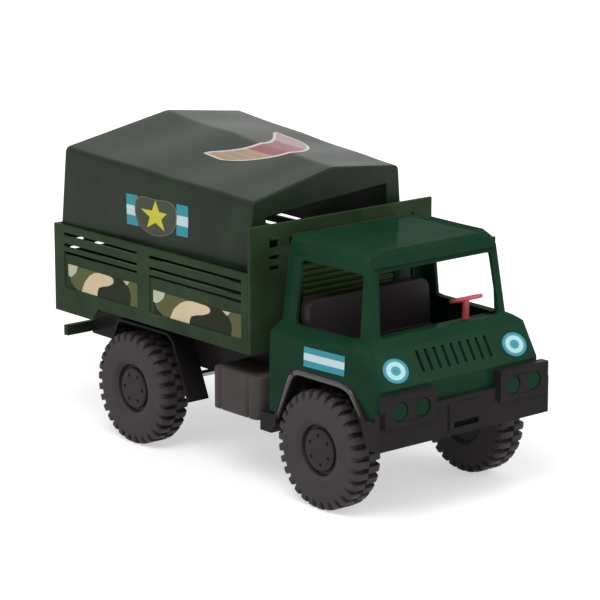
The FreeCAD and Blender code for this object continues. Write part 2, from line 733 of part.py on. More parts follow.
# ---------------------------------------------------------------- the parts
def all_parts():
    parts = {
        "chassis_frame": chassis_frame(),
        "front_bumper": front_bumper(),
        "cab_shell": cab_shell(),
        "seat_bench": seat_bench(),
        "steering_wheel": steering_wheel(),
        "bed_floor": bed_floor(),
        "headboard": headboard(),
        "tailgate": tailgate(),
        "canopy": canopy(),
        "rear_bar": rear_bar(),
    }
    makers = (("front_fender", front_fender), ("rear_fender", rear_fender), ("battery_box", battery_box))
    for name, make in makers:
        left = make()
        parts[name + "_left"] = left
        parts[name + "_right"] = mirrored(left)
    right_side = bed_side()
    parts["bed_side_right"] = right_side
    parts["bed_side_left"] = mirrored(right_side)
    for end, y in (("front", front_axle_y), ("rear", rear_axle_y)):
        parts["axle_" + end] = axle(y)
        for name, make in (("tyre", tyre), ("rim", rim)):
            left = make(y)
            parts[name + "_" + end + "_left"] = left
            parts[name + "_" + end + "_right"] = mirrored(left)
    return parts


def write_parts():
    os.makedirs("parts", exist_ok=True)
    for name, shape in all_parts().items():
        print(name, "valid", shape.isValid(), "solids", len(shape.Solids), "volume", round(shape.Volume, 1))
        shape.translated(Vector(0, 0, -ground_z)).exportStep(os.path.join("parts", name + ".step"))


write_parts()
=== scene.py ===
"""Dresses the toy military cargo truck.

It adds materials, stickers, lugged tyres, a soft-edged canopy, small relief, a camera, a floor and light.
"""

import math

import bmesh
import bpy
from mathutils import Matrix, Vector
from mathutils.bvhtree import BVHTree


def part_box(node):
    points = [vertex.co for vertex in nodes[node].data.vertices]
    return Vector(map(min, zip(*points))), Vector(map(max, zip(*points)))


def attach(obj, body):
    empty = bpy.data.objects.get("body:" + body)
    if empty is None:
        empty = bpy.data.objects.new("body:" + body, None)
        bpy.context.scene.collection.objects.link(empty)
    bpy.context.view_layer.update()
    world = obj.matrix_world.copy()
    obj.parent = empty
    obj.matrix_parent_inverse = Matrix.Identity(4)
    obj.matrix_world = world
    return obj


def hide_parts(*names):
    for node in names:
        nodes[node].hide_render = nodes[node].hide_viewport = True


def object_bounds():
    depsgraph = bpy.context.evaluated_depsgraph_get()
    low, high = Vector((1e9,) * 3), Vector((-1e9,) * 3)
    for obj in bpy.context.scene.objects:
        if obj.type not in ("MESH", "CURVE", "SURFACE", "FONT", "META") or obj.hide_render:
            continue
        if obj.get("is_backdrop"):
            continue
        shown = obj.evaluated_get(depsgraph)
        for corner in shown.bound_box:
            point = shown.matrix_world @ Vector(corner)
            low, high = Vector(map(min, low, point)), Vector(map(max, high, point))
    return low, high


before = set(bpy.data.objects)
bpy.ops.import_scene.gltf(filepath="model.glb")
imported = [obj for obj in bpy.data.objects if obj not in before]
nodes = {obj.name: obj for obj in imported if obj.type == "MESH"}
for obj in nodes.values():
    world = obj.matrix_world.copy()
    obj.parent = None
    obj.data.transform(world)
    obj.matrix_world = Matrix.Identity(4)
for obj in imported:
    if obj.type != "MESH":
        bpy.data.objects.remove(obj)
cad_low, cad_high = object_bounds()
MM = 0.001

# ---------------------------------------------------------------- materials
CLOUD_SCALE = 28
GRAIN_SCALE = 900
GRAIN_STRENGTH = 0.04
GRAIN_DEPTH = 0.2 * MM
COAT_ROUGHNESS = 0.12


def linear(colour):
    """An sRGB colour of 0 to 255 as linear."""
    out = []
    for c in colour:
        c = c / 255
        out.append(c / 12.92 if c <= 0.04045 else ((c + 0.055) / 1.055) ** 2.4)
    return out


def blank_material(name):
    """A new material, its node tree and its shader."""
    mat = bpy.data.materials.new(name)
    mat.use_nodes = True
    return mat, mat.node_tree, mat.node_tree.nodes["Principled BSDF"]


def put(node, inputs):
    """Sets a node's inputs."""
    for key, value in inputs.items():
        node.inputs[key].default_value = value


def add_node(tree, kind, inputs=None):
    """A new shader node with some inputs set."""
    made = tree.nodes.new("ShaderNode" + kind)
    put(made, inputs or {})
    return made


def combined(tree, operation, first, second):
    """The output of a maths node on two outputs."""
    made = add_node(tree, "Math")
    made.operation = operation
    tree.links.new(first, made.inputs[0])
    tree.links.new(second, made.inputs[1])
    return made.outputs[0]


def material(name, colour, rough, specular, mottle=0.15, metallic=0.0, coat=0.0):
    """A surface that is a little cloudy in colour, with a fine moulding grain and uneven gloss."""
    mat, tree, shader = blank_material(name)
    put(shader, {"Metallic": metallic, "Specular IOR Level": specular, "Coat Weight": coat,
                 "Coat Roughness": COAT_ROUGHNESS})
    where = add_node(tree, "TexCoord")
    cloud = add_node(tree, "TexNoise", {"Scale": CLOUD_SCALE, "Detail": 4})
    tree.links.new(where.outputs["Object"], cloud.inputs["Vector"])

    ramp = add_node(tree, "ValToRGB")
    base = linear(colour)
    for k, (place, tone) in enumerate(((0.3, 1 - mottle), (0.72, 1 + mottle))):
        ramp.color_ramp.elements[k].position = place
        ramp.color_ramp.elements[k].color = (*[c * tone for c in base], 1)
    tree.links.new(cloud.outputs["Fac"], ramp.inputs["Fac"])
    tree.links.new(ramp.outputs["Color"], shader.inputs["Base Color"])

    wear = add_node(tree, "MapRange", {"To Min": rough * 0.8, "To Max": rough * 1.25})
    tree.links.new(cloud.outputs["Fac"], wear.inputs["Value"])
    tree.links.new(wear.outputs["Result"], shader.inputs["Roughness"])

    fine = add_node(tree, "TexNoise", {"Scale": GRAIN_SCALE, "Detail": 3})
    tree.links.new(where.outputs["Object"], fine.inputs["Vector"])
    bump = add_node(tree, "Bump", {"Strength": GRAIN_STRENGTH, "Distance": GRAIN_DEPTH})
    tree.links.new(fine.outputs["Fac"], bump.inputs["Height"])
    tree.links.new(bump.outputs["Normal"], shader.inputs["Normal"])
    return mat


cab_green = material("cab_green", (27, 61, 42), 0.4, 0.0, coat=0.08)
bed_green = material("bed_green", (50, 67, 45), 0.4, 0.02, 0.25, coat=0.08)
# a lighter copy of the headboard's green: painted light on the planks, which sit in the cab's shade
painted_lit_green = material("painted_lit_green", (74, 96, 52), 0.4, 0.05, 0.25)
canopy_green = material("canopy_green", (33, 45, 31), 0.34, 0.15, 0.3)
black = material("black_moulding", (40, 36, 37), 0.4, 0.04, coat=0.06)
gloss_black = material("gloss_black", (32, 28, 30), 0.14, 0.8)
box_black = material("box_black", (78, 72, 71), 0.42, 0.06, coat=0.06)
tyre_black = material("tyre_black", (70, 64, 65), 0.5, 0.08, 0.12, coat=0.06)
hub_black = material("hub_black", (54, 49, 49), 0.4, 0.06, 0.12, coat=0.1)
seat_black = material("seat_black", (38, 31, 34), 0.42, 0.2)
red = material("red_moulding", (214, 92, 98), 0.35, 0.3)
steel = material("axle_steel", (170, 170, 172), 0.25, 0.5, metallic=1.0)
sky = material("sticker_sky", (36, 151, 165), 0.3, 0.3, 0.05)
pale_sky = material("sticker_pale", (208, 232, 236), 0.3, 0.3, 0.03)
ring_blue = material("sticker_ring", (60, 160, 174), 0.3, 0.3, 0.05)
ring_white = material("sticker_white", (190, 232, 240), 0.3, 0.3, 0.03)
yellow = material("sticker_yellow", (214, 211, 58), 0.35, 0.3, 0.05)
shield_green = material("sticker_shield", (62, 70, 54), 0.4, 0.25, 0.08)
shield_edge = material("sticker_edge", (108, 106, 82), 0.4, 0.25, 0.08)
camo_dark = material("camo_dark", (28, 36, 15), 0.4, 0.1, 0.08)
camo_olive = material("camo_olive", (88, 93, 44), 0.4, 0.2, 0.08)
camo_beige = material("camo_beige", (232, 213, 176), 0.4, 0.1, 0.04)
camo_cream = material("camo_cream", (206, 204, 174), 0.4, 0.2, 0.05)
patch_white = material("patch_white", (214, 206, 206), 0.4, 0.3, 0.05)
patch_red = material("patch_red", (150, 84, 90), 0.4, 0.3, 0.12)
patch_ochre = material("patch_ochre", (168, 142, 96), 0.4, 0.3, 0.1)
patch_grey = material("patch_grey", (176, 150, 154), 0.4, 0.3, 0.1)

finishes = {
    "cab_shell": cab_green, "seat_bench": seat_black, "steering_wheel": red, "canopy": canopy_green,
    "bed_floor": bed_green, "headboard": bed_green, "tailgate": bed_green, "rear_bar": bed_green,
    "bed_side_left": bed_green, "bed_side_right": bed_green, "axle_front": steel, "axle_rear": steel,
}
for name, obj in nodes.items():
    mat = finishes.get(name, tyre_black if name.startswith(("tyre", "rim")) else black)
    obj.data.materials.clear()
    obj.data.materials.append(mat)


# ---------------------------------------------------------------- soft edges
def softened(obj, width, angle):
    """Rounds an object's edges that turn by more than an angle."""
    bevel = obj.modifiers.new("bevel", "BEVEL")
    bevel.limit_method = "ANGLE"
    bevel.angle_limit = math.radians(angle)
    bevel.width = width * MM
    bevel.segments = 3
    return bevel


for name in ("cab_shell", "front_bumper", "bed_side_left", "bed_side_right", "headboard", "tailgate",
             "rear_bar", "seat_bench", "front_fender_left", "front_fender_right",
             "rear_fender_left", "rear_fender_right", "chassis_frame"):
    weld = nodes[name].modifiers.new("weld", "WELD")
    weld.merge_threshold = 0.01 * MM
    softened(nodes[name], 0.5, 30).harden_normals = True


# ---------------------------------------------------------------- making pieces
def shade_smooth(mesh, angle):
    """Smooth shading, apart from edges that turn by more than an angle."""
    mesh.polygons.foreach_set("use_smooth", [True] * len(mesh.polygons))
    mesh.set_sharp_from_angle(angle=math.radians(angle))


def placed(name, mesh, body):
    """An object for a mesh, riding on a body."""
    obj = bpy.data.objects.new(name, mesh)
    bpy.context.scene.collection.objects.link(obj)
    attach(obj, body)
    return obj


def piece(name, points, faces, mats, face_mats=None, body="truck", smooth=None):
    """A new piece; its points are in millimetres."""
    mesh = bpy.data.meshes.new(name)
    mesh.from_pydata([Vector(p) * MM for p in points], [], faces)
    for mat in mats:
        mesh.materials.append(mat)
    if face_mats:
        mesh.polygons.foreach_set("material_index", face_mats)
    bm = bmesh.new()
    bm.from_mesh(mesh)
    bmesh.ops.recalc_face_normals(bm, faces=bm.faces)
    bm.to_mesh(mesh)
    bm.free()
    if smooth:
        shade_smooth(mesh, smooth)
    return placed(name, mesh, body)


def grid_faces(rows, columns, close_rows=True, close_columns=True):
    """Quads over a grid of points that may close on itself either way."""
    faces = []
    for i in range(rows if close_rows else rows - 1):
        for j in range(columns if close_columns else columns - 1):
            a, b = i * columns, (i + 1) % rows * columns
            k = (j + 1) % columns
            faces.append((a + j, a + k, b + k, b + j))
    return faces


def size(node):
    """The low and high corners of a node's box, in millimetres."""
    low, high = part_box(node)
    return Vector(low) / MM, Vector(high) / MM


def surface(obj):
    """An object's surface, for placing things on it."""
    corners = [v.co.copy() for v in obj.data.vertices]
    return BVHTree.FromPolygons(corners, [tuple(p.vertices) for p in obj.data.polygons])


def drop(onto, start, way):
    """Where a line from start along way meets a surface, and the normal there, in millimetres."""
    spot, normal, _, _ = onto.ray_cast(Vector(start) * MM, Vector(way))
    if normal.dot(Vector(way)) > 0:
        normal = -normal
    return spot / MM, normal


def decals(name, place, shapes, lift=0.2, sides=(1, -1)):
    """Stickers pressed onto a surface.

    Each shape is (outline, material, layer), and place(u, v) gives the spot and the normal for its points.
    A side of -1 puts the sticker's mirror image on the truck's other side.
    """
    mats = []
    points, faces, face_mats = [], [], []
    for outline, mat, layer in shapes:
        if mat not in mats:
            mats.append(mat)
        low, high = [], []
        for u, v in outline:
            spot, normal = place(u, v)
            low.append(spot + normal * lift)
            high.append(spot + normal * (lift + 0.08 + 0.06 * layer))
        count = len(outline)
        for side in sides:
            base = len(points)
            points += [(side * p.x, p.y, p.z) for p in low + high]
            faces.append(tuple(base + i for i in range(count)))
            faces.append(tuple(base + count + i for i in range(count)))
            for i in range(count):
                k = (i + 1) % count
                faces.append((base + i, base + k, base + count + k, base + count + i))
            face_mats += [mats.index(mat)] * (count + 2)
    return piece(name, points, faces, mats, face_mats)


def disc(u, v, wide, high, steps=48):
    """The outline of an oval."""
    angles = [2 * math.pi * i / steps for i in range(steps)]
    return [(u + wide * math.cos(angle), v + high * math.sin(angle)) for angle in angles]


def bend(start, corner, end, t):
    """The point at t, from 0 to 1, of a curve from start to end that turns beside a corner."""
    return start * (1 - t) ** 2 + corner * 2 * t * (1 - t) + end * t * t


def rounded_line(points, steps=6):
    """A smooth closed outline through the middles between the points."""
    out = []
    count = len(points)
    for i in range(count):
        a, b, c = (Vector(points[(i + k) % count]) for k in range(3))
        out += [tuple(bend((a + b) / 2, b, (b + c) / 2, k / steps)) for k in range(steps)]
    return out


def filleted(corners, counts):
    """A line with rounded corners; corners are (x, y, radius), counts the points on each straight run."""
    runs = []
    for i, (x, y, r) in enumerate(corners):
        here = Vector((x, y))
        if r == 0:
            runs.append([here])
            continue
        before = (Vector(corners[i - 1][:2]) - here).normalized()
        after = (Vector(corners[i + 1][:2]) - here).normalized()
        reach = r / math.tan(before.angle(after) / 2)
        runs.append([bend(here + before * reach, here, here + after * reach, k / 8) for k in range(9)])
    out = []
    for i, run in enumerate(runs):
        out += run
        if i < len(runs) - 1:
            out += [run[-1].lerp(runs[i + 1][0], k / counts[i]) for k in range(1, counts[i])]
    return out


def clamped(t):
    """A share kept between 0 and 1."""
    return min(max(t, 0), 1)


# ---------------------------------------------------------------- tyres and rims
LUGS = 30
PITCH = 2 * math.pi / LUGS
LUG_MIDDLE = (0.75, 0.25)     # each row's lug, as a share of the pitch
LUG_HALF = 0.28
LUG_EDGE = 0.02
LUG_STEP = 0.86               # how far a lug has risen at its edge
# half a tyre's section, from its inner edge to its middle, columns: place from the middle plane, radius, how
# far a lug stands out there across and outwards, and whether lugs reach there
HALF_TREAD = (
    (9.5, 19.1, 0.0, 0.0, False), (9.6, 19.3, 0.0, 0.0, False), (11.7, 21.8, 0.0, 0.0, False),
    (12.0, 22.5, 0.0, 0.0, False), (12.0, 25.0, 0.0, 0.0, False), (12.0, 31.0, 0.0, 0.0, False),
    (12.0, 36.0, 0.0, 0.0, True), (11.7, 37.3, 0.3, 0.1, True), (10.9, 38.7, 1.2, 1.0, True),
    (9.8, 39.7, 1.5, 2.8, True), (8.4, 40.2, 0.4, 3.7, True), (7.6, 40.3, 0.0, 3.7, True),
    (4.0, 40.3, 0.0, 3.7, True), (0.9, 40.3, 0.0, 3.7, True), (0.3, 40.3, 0.0, 3.5, True),
)
tread = [(-1, 0, *line) for line in HALF_TREAD] + [(1, 1, *line) for line in reversed(HALF_TREAD)]


def lug_rise(turn, row):
    """How far a lug of a row has risen at this share of the pitch, 0 to 1."""
    away = abs((turn - LUG_MIDDLE[row] + 0.5) % 1 - 0.5)
    if away > LUG_HALF + 0.5 * LUG_EDGE:
        return 0.0
    return LUG_STEP if away > LUG_HALF - 0.5 * LUG_EDGE else 1.0


turns = []
for middle in LUG_MIDDLE:
    for edge in (middle - LUG_HALF, middle + LUG_HALF):
        turns += [(edge + step * LUG_EDGE) % 1 for step in (-1, 0, 1)]
    turns += [(middle + step) % 1 for step in (-0.12, 0.0, 0.12)]
turns.sort()


def make_tyre(name, side, body):
    """A tyre with two staggered rows of lugs."""
    low, high = size(name)
    middle = (low + high) / 2
    points = []
    for half, row, across, radius, out_x, out_r, lugged in tread:
        for lug in range(LUGS):
            for turn in turns:
                rise = lug_rise(turn, row) if lugged else 0.0
                angle = (lug + turn) * PITCH
                r = radius + rise * out_r
                points.append((middle.x + side * half * (across + rise * out_x),
                               middle.y + r * math.cos(angle), middle.z + r * math.sin(angle)))
    faces = grid_faces(len(tread), LUGS * len(turns))
    obj = piece(name.replace("tyre", "tread"), points, faces, [tyre_black], body=body, smooth=28)
    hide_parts(name)


RECESSES = 6
RECESS_CIRCLE = 10.8
RING_BACK = 3.0               # from the rim's face to the ring that carries the tyre
RING_END = 19.0
RING_RADIUS = 19.0
BOSS_RADIUS = 6.0
BORE_RADIUS = 2.6


def ring_at(bm, x, y, z, radius, steps):
    """A ring of vertices about a line across the truck, in millimetres."""
    ring = []
    for i in range(steps):
        angle = 2 * math.pi * i / steps
        spot = Vector((x, y + radius * math.cos(angle), z + radius * math.sin(angle)))
        ring.append(bm.verts.new(spot * MM))
    return ring


def skinned(bm, rings):
    """Skins rings and closes the last one. Returns the edges of the first one, which stays open."""
    steps = len(rings[0])
    for a, b in zip(rings, rings[1:]):
        for i in range(steps):
            k = (i + 1) % steps
            bm.faces.new((a[i], a[k], b[k], b[i]))
    bm.faces.new(rings[-1])
    return [bm.edges.get((rings[0][i], rings[0][(i + 1) % steps])) for i in range(steps)]


def make_rim(name, side, body, phase):
    """The rim's disc with its round recesses, its edge, the ring behind it and the boss."""
    low, high = size(name)
    y, z = (low.y + high.y) / 2, (low.z + high.z) / 2
    face = max(abs(low.x), abs(high.x))
    boss = min(abs(low.x), abs(high.x))
    ring, end = face - RING_BACK, face - RING_END
    lathe = (
        (face, 14.6), (face - 0.15, 15.1), (face - 0.6, 15.6), (face - 1.2, 15.7), (ring + 0.3, 15.8),
        (ring, 16.2), (ring, RING_RADIUS), (end, RING_RADIUS), (end, BOSS_RADIUS), (boss, BOSS_RADIUS),
        (boss, BORE_RADIUS),
    )
    bm = bmesh.new()
    edges = skinned(bm, [ring_at(bm, side * x, y, z, r, 72) for x, r in lathe])
    for k in range(RECESSES):
        angle = phase + k * 2 * math.pi / RECESSES
        hole_y, hole_z = y + RECESS_CIRCLE * math.cos(angle), z + RECESS_CIRCLE * math.sin(angle)
        recess = ((face, 1.55), (face - 0.3, 1.35), (face - 1.4, 1.25))
        edges += skinned(bm, [ring_at(bm, side * x, hole_y, hole_z, r, 20) for x, r in recess])
    bmesh.ops.triangle_fill(bm, use_beauty=True, edges=edges)
    bmesh.ops.recalc_face_normals(bm, faces=bm.faces)
    mesh = bpy.data.meshes.new(name)
    bm.to_mesh(mesh)
    bm.free()
    mesh.materials.append(hub_black)
    shade_smooth(mesh, 35)
    obj = placed(name.replace("rim", "hub"), mesh, body)
    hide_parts(name)


for end, phase in (("front", 0.42), ("rear", 0.0)):
    for which, side in (("left", 1), ("right", -1)):
        make_tyre("tyre_%s_%s" % (end, which), side, end + "_wheels")
        make_rim("rim_%s_%s" % (end, which), side, end + "_wheels", phase)

# ---------------------------------------------------------------- canopy
canopy_low, canopy_high = size("canopy")
BED_HALF = 89.5
# each end, columns: inside the bed's half width at the right hem, right eave, left eave and left hem; the
# ridge's place; heights of the right eave, ridge and left eave
CANOPY_ENDS = (
    (12.0, 15.5, 21.0, 16.0, 2.5, 211.0, 228.0, 221.3),
    (4.0, 0.8, 3.1, 4.0, 8.5, 224.6, 243.8, 234.5),
)
LEAN = 12.0 / (224.6 - canopy_low.z)     # forward for each millimetre of height, at the rear end
BOWS = (0.0, 0.2, 0.6, 1.0)              # shares of the length where a bow holds the roof up
SAG = 1.3
FIRST_SAG = 0.3                          # the first bay's share of the sag
EAVE_RADIUS = 5.0
RIDGE_RADIUS = 22.0
MOUTH_IN = 13.0                          # the width of the frame round each open end
EAVE_ROUND = 5.5                         # below an eave, where its side ends and its corner begins
SECTIONS = 60
WALL = 2.0


def canopy_line(share, inset):
    """The canopy's section at a share of its length, moved in by inset; the roof sags between the bows."""
    hem_in, eave_in, far_eave_in, far_hem_in, ridge_x, eave_z, ridge_z, far_eave_z = (
        a + (b - a) * share for a, b in zip(*CANOPY_ENDS))
    line = filleted([
        (-BED_HALF + hem_in + inset, canopy_low.z, 0),
        (-BED_HALF + eave_in + inset, eave_z - inset, EAVE_RADIUS - inset),
        (ridge_x, ridge_z - inset, RIDGE_RADIUS),
        (BED_HALF - far_eave_in - inset, far_eave_z - inset, EAVE_RADIUS - inset),
        (BED_HALF - far_hem_in - inset, canopy_low.z, 0),
    ], (8, 10, 10, 8))
    for low, high in zip(BOWS, BOWS[1:]):
        if low <= share <= high:
            bay = math.sin(math.pi * (share - low) / (high - low)) ** 2
            bay *= 1.0 if high > BOWS[1] else FIRST_SAG
    out = []
    for p in line:
        roof = clamped((p.y - eave_z + 6) / 6)
        over = math.sin(math.pi * clamped((p.x / BED_HALF + 1) / 2)) ** 0.6
        side = math.sin(math.pi * clamped((p.y - canopy_low.z) / (eave_z - canopy_low.z)))
        out.append(Vector((p.x * (1 - 0.008 * bay * side * (1 - roof)), p.y - SAG * bay * roof * over)))
    return out


def canopy_ring(share, y, inset):
    """The section's points in place, leaning as that part of the canopy does."""
    return [(p.x, y - LEAN * share * (p.y - canopy_low.z), p.y) for p in canopy_line(share, inset)]


def canopy_mouth(end, y):
    """The opening's edge at one end, point by point beside the section's."""
    hem_in, eave_in, far_eave_in, far_hem_in, _, eave_z, _, far_eave_z = CANOPY_ENDS[end]
    hem = Vector((-BED_HALF + hem_in + MOUTH_IN, canopy_low.z))
    eave = Vector((-BED_HALF + eave_in + MOUTH_IN, eave_z - MOUTH_IN))
    far_eave = Vector((BED_HALF - far_eave_in - MOUTH_IN, far_eave_z - MOUTH_IN))
    far_hem = Vector((BED_HALF - far_hem_in - MOUTH_IN, canopy_low.z))
    out = []
    for p in canopy_line(end, 0):
        up = p.y - canopy_low.z
        if p.x < eave.x and p.y < eave_z - EAVE_ROUND:
            q = hem.lerp(eave, up / (eave_z - EAVE_ROUND - canopy_low.z) * 0.96)
        elif p.x > far_eave.x and p.y < far_eave_z - EAVE_ROUND:
            q = far_hem.lerp(far_eave, up / (far_eave_z - EAVE_ROUND - canopy_low.z) * 0.96)
        else:
            t = (p.x + BED_HALF - eave_in) / (2 * BED_HALF - eave_in - far_eave_in)
            q = eave.lerp(far_eave, clamped(t))
        out.append((q.x, y - LEAN * end * (q.y - canopy_low.z), q.y))
    return out


def make_canopy():
    """The canopy as one thin shell: its outside, rear mouth, inside, front mouth and both hems."""
    front, rear = canopy_low.y, canopy_high.y
    outside, inside = [], []
    for k in range(SECTIONS + 1):
        share = k / SECTIONS
        outside.append(canopy_ring(share, front + (rear - front) * share, 0))
        inside.append(canopy_ring(share, front + WALL + (rear - front - 2 * WALL) * share, WALL))
    rings = outside + [canopy_mouth(1, rear), canopy_mouth(1, rear - WALL)] + inside[::-1]
    rings += [canopy_mouth(0, front + WALL), canopy_mouth(0, front)]
    count = len(rings[0])
    faces = grid_faces(len(rings), count, True, False)
    first_inside = 2 * SECTIONS + 3
    hem = [(k, k + 1, first_inside - k - 1, first_inside - k) for k in range(SECTIONS)]
    hem.append((SECTIONS, SECTIONS + 1, SECTIONS + 2, SECTIONS + 3))
    hem.append((0, first_inside, first_inside + 1, first_inside + 2))
    for j in (0, count - 1):
        faces += [tuple(i * count + j for i in quad) for quad in hem]
    return piece("canopy_cover", [p for ring in rings for p in ring], faces, [canopy_green], smooth=35)


cover = make_canopy()
softened(cover, 1.2, 50).use_clamp_overlap = False
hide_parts("canopy")

# ---------------------------------------------------------------- stickers
cab_surface = surface(nodes["cab_shell"])
bed_surface = surface(nodes["bed_side_right"])
cover_surface = surface(cover)
cab_front = size("cab_shell")[0].y
bed_front = size("bed_side_right")[0].y

# the side flag: u runs back from the cab's front, v is the height; cut small to follow the side's curve
FLAG_REAR = Vector((82.0, 104.1))
FLAG_FRONT = Vector((38.2, 105.3))
FLAG_STEPS = 12
flag = []
for low, high, mat in ((0.0, 4.7, sky), (4.7, 10.0, pale_sky), (10.0, 14.5, sky)):
    middle = (low + high) / 2
    for k in range(FLAG_STEPS):
        a = FLAG_REAR.lerp(FLAG_FRONT, k / FLAG_STEPS)
        b = FLAG_REAR.lerp(FLAG_FRONT, (k + 1) / FLAG_STEPS)
        for bottom, top in ((low, middle), (middle, high)):
            outline = [(a.x, a.y + bottom), (b.x, b.y + bottom), (b.x, b.y + top), (a.x, a.y + top)]
            flag.append((outline, mat, 0))
decals("side_flags", lambda u, v: drop(cab_surface, (-100, cab_front + u, v), (1, 0, 0)), flag)

# the roundels on the nose: u runs across, v is the height; five discs, each smaller and one layer higher
roundel = []
for share, mat in ((1.0, sky), (0.87, ring_blue), (0.74, ring_white), (0.38, ring_blue), (0.16, sky)):
    roundel.append((disc(-58.2, 109.9, 11.6 * share, 7.8 * share), mat, len(roundel)))
decals("nose_roundels", lambda u, v: drop(cab_surface, (u, -250, v), (0, 1, 0)), roundel)

# a camouflage panel, in shares of its length from the rear and of its height
CAMO = (
    (camo_dark, 0, ((0, 0), (1, 0), (1, 1), (0, 1))),
    (camo_olive, 1, ((0.12, 0), (0.19, 0), (0.24, 0.42), (0.31, 0.74), (0.37, 0.9), (0.42, 0.99),
                     (0.13, 0.99), (0.13, 0.9), (0.11, 0.72), (0.055, 0.52), (0.02, 0.46), (0.04, 0.25))),
    (camo_cream, 1, ((0, 0.52), (0.03, 0.47), (0.06, 0.54), (0.115, 0.75), (0.14, 0.9), (0.145, 1), (0, 1))),
    (camo_beige, 2, ((0.184, 0), (0.23, 0.44), (0.3, 0.76), (0.37, 0.93), (0.43, 0.985), (0.5, 0.98),
                     (0.585, 0.97), (0.62, 0.92), (0.632, 0.8), (0.62, 0.7), (0.59, 0.62), (0.55, 0.54),
                     (0.48, 0.46), (0.425, 0.36), (0.408, 0.2), (0.402, 0))),
    (camo_olive, 1, ((0.85, 0), (1, 0), (1, 1), (0.85, 1), (0.82, 0.85), (0.84, 0.68), (0.86, 0.5),
                     (0.865, 0.3))),
    (camo_cream, 2, ((0.763, 0.96), (0.846, 0.985), (0.833, 0.9), (0.814, 0.8), (0.786, 0.88))),
)
# columns: name, rear and front ends back from the bed's front, bottom and top
CAMO_PANELS = (("camo_rear", 223.0, 129.0, 112.2, 131.4), ("camo_front", 113.6, 4.4, 111.6, 130.2))
for name, rear, front, low, high in CAMO_PANELS:
    shapes = []
    for mat, layer, shares in CAMO:
        outline = [(rear + (front - rear) * u, low + (high - low) * v) for u, v in shares]
        shapes.append((outline, mat, layer))
    middle = (-100, bed_front + (rear + front) / 2, (low + high) / 2)
    panel_x = drop(bed_surface, middle, (1, 0, 0))[0].x
    decals(name, lambda u, v: (Vector((panel_x, bed_front + u, v)), Vector((-1, 0, 0))), shapes, lift=0.02)

# the badge on the canopy: a star on a plain shield between two striped bars; u runs back from the canopy's
# front, v is the height
BADGE = (106.8, 184.6)
BADGE_BARS = ((140.6, 127.0), (83.2, 69.8))
BADGE_BANDS = ((174.2, 182.0, sky), (182.0, 189.6, pale_sky), (189.6, 198.0, sky))
SHIELD = ((-23, 11.5), (-13, 14.6), (0, 12.8), (13, 14.6), (23, 11.5), (24.5, 2), (21.5, -8), (12, -13.2),
          (0, -15.4), (-12, -13.2), (-21.5, -8), (-24.5, 2))
badge = []
for rear, front in BADGE_BARS:
    for low, high, mat in BADGE_BANDS:
        badge.append(([(rear, low), (front, low), (front, high), (rear, high)], mat, 0))
star = []
for i in range(10):
    radius = 1.0 if i % 2 == 0 else 0.4
    angle = math.pi / 2 + i * math.pi / 5
    star.append((17.2 * radius * math.cos(angle), 0.3 + 12.2 * radius * math.sin(angle)))
shield = rounded_line(SHIELD)
for outline, mat, layer, scale in ((shield, shield_edge, 1, 1.0), (shield, shield_green, 2, 0.95),
                                   (star, yellow, 3, 1.0)):
    badge.append(([(BADGE[0] + u * scale, BADGE[1] + v * scale) for u, v in outline], mat, layer))
for name, side in (("right", -1), ("left", 1)):
    decals("canopy_badge_" + name,
           lambda u, v: drop(cover_surface, (side * 120, canopy_low.y + u, v), (-side, 0, 0)),
           badge, sides=(1,))

# the roof patch: a curved band over the ridge with a pale border and plain fields
ALONG = 44
ACROSS = 12
STRIPES_END = 14     # the steps along where the striped and the red field end
RED_END = 32


def patch_field(i, j):
    """Which of the patch's materials a square has: 0 border, 1 ochre, 2 red, 3 grey."""
    if j in (0, ACROSS - 1) or i in (0, ALONG - 1):
        return 0
    if i < STRIPES_END:
        return 1 if i % 4 else 3
    return 2 if i < RED_END else 3


def make_roof_patch():
    """The patch as a thin sheet on the roof, bent back on both sides and wider to the left."""
    low, top = [], []
    for i in range(ALONG + 1):
        share = i / ALONG
        x = -34.0 + 84.0 * share
        half = (17 + 6 * share) * (1 - (2 * abs(share - 0.5)) ** 10 * 0.4)
        middle = 69.0 + 0.019 * (x - 5.0) ** 2
        for j in range(ACROSS + 1):
            y = canopy_low.y + middle + half * (2 * j / ACROSS - 1)
            spot, normal = drop(cover_surface, (x, y, 300), (0, 0, -1))
            low.append(spot + normal * 0.05)
            top.append(spot + normal * 0.2)
    faces, face_mats = [], []
    row = ACROSS + 1
    for i in range(ALONG):
        for j in range(ACROSS):
            a = i * row + j
            quad = (a, a + 1, a + row + 1, a + row)
            faces += [quad, tuple(len(low) + k for k in quad)]
            face_mats += [patch_field(i, j)] * 2
    edge = list(range(row)) + [i * row + ACROSS for i in range(1, ALONG + 1)]
    edge += [ALONG * row + j for j in range(ACROSS - 1, -1, -1)]
    edge += [i * row for i in range(ALONG - 1, 0, -1)]
    for a, b in zip(edge, edge[1:] + edge[:1]):
        faces.append((a, b, len(low) + b, len(low) + a))
        face_mats.append(0)
    piece("roof_patch", low + top, faces, (patch_white, patch_ochre, patch_red, patch_grey), face_mats)


make_roof_patch()

# ---------------------------------------------------------------- small relief
BEAD_STEPS = 10


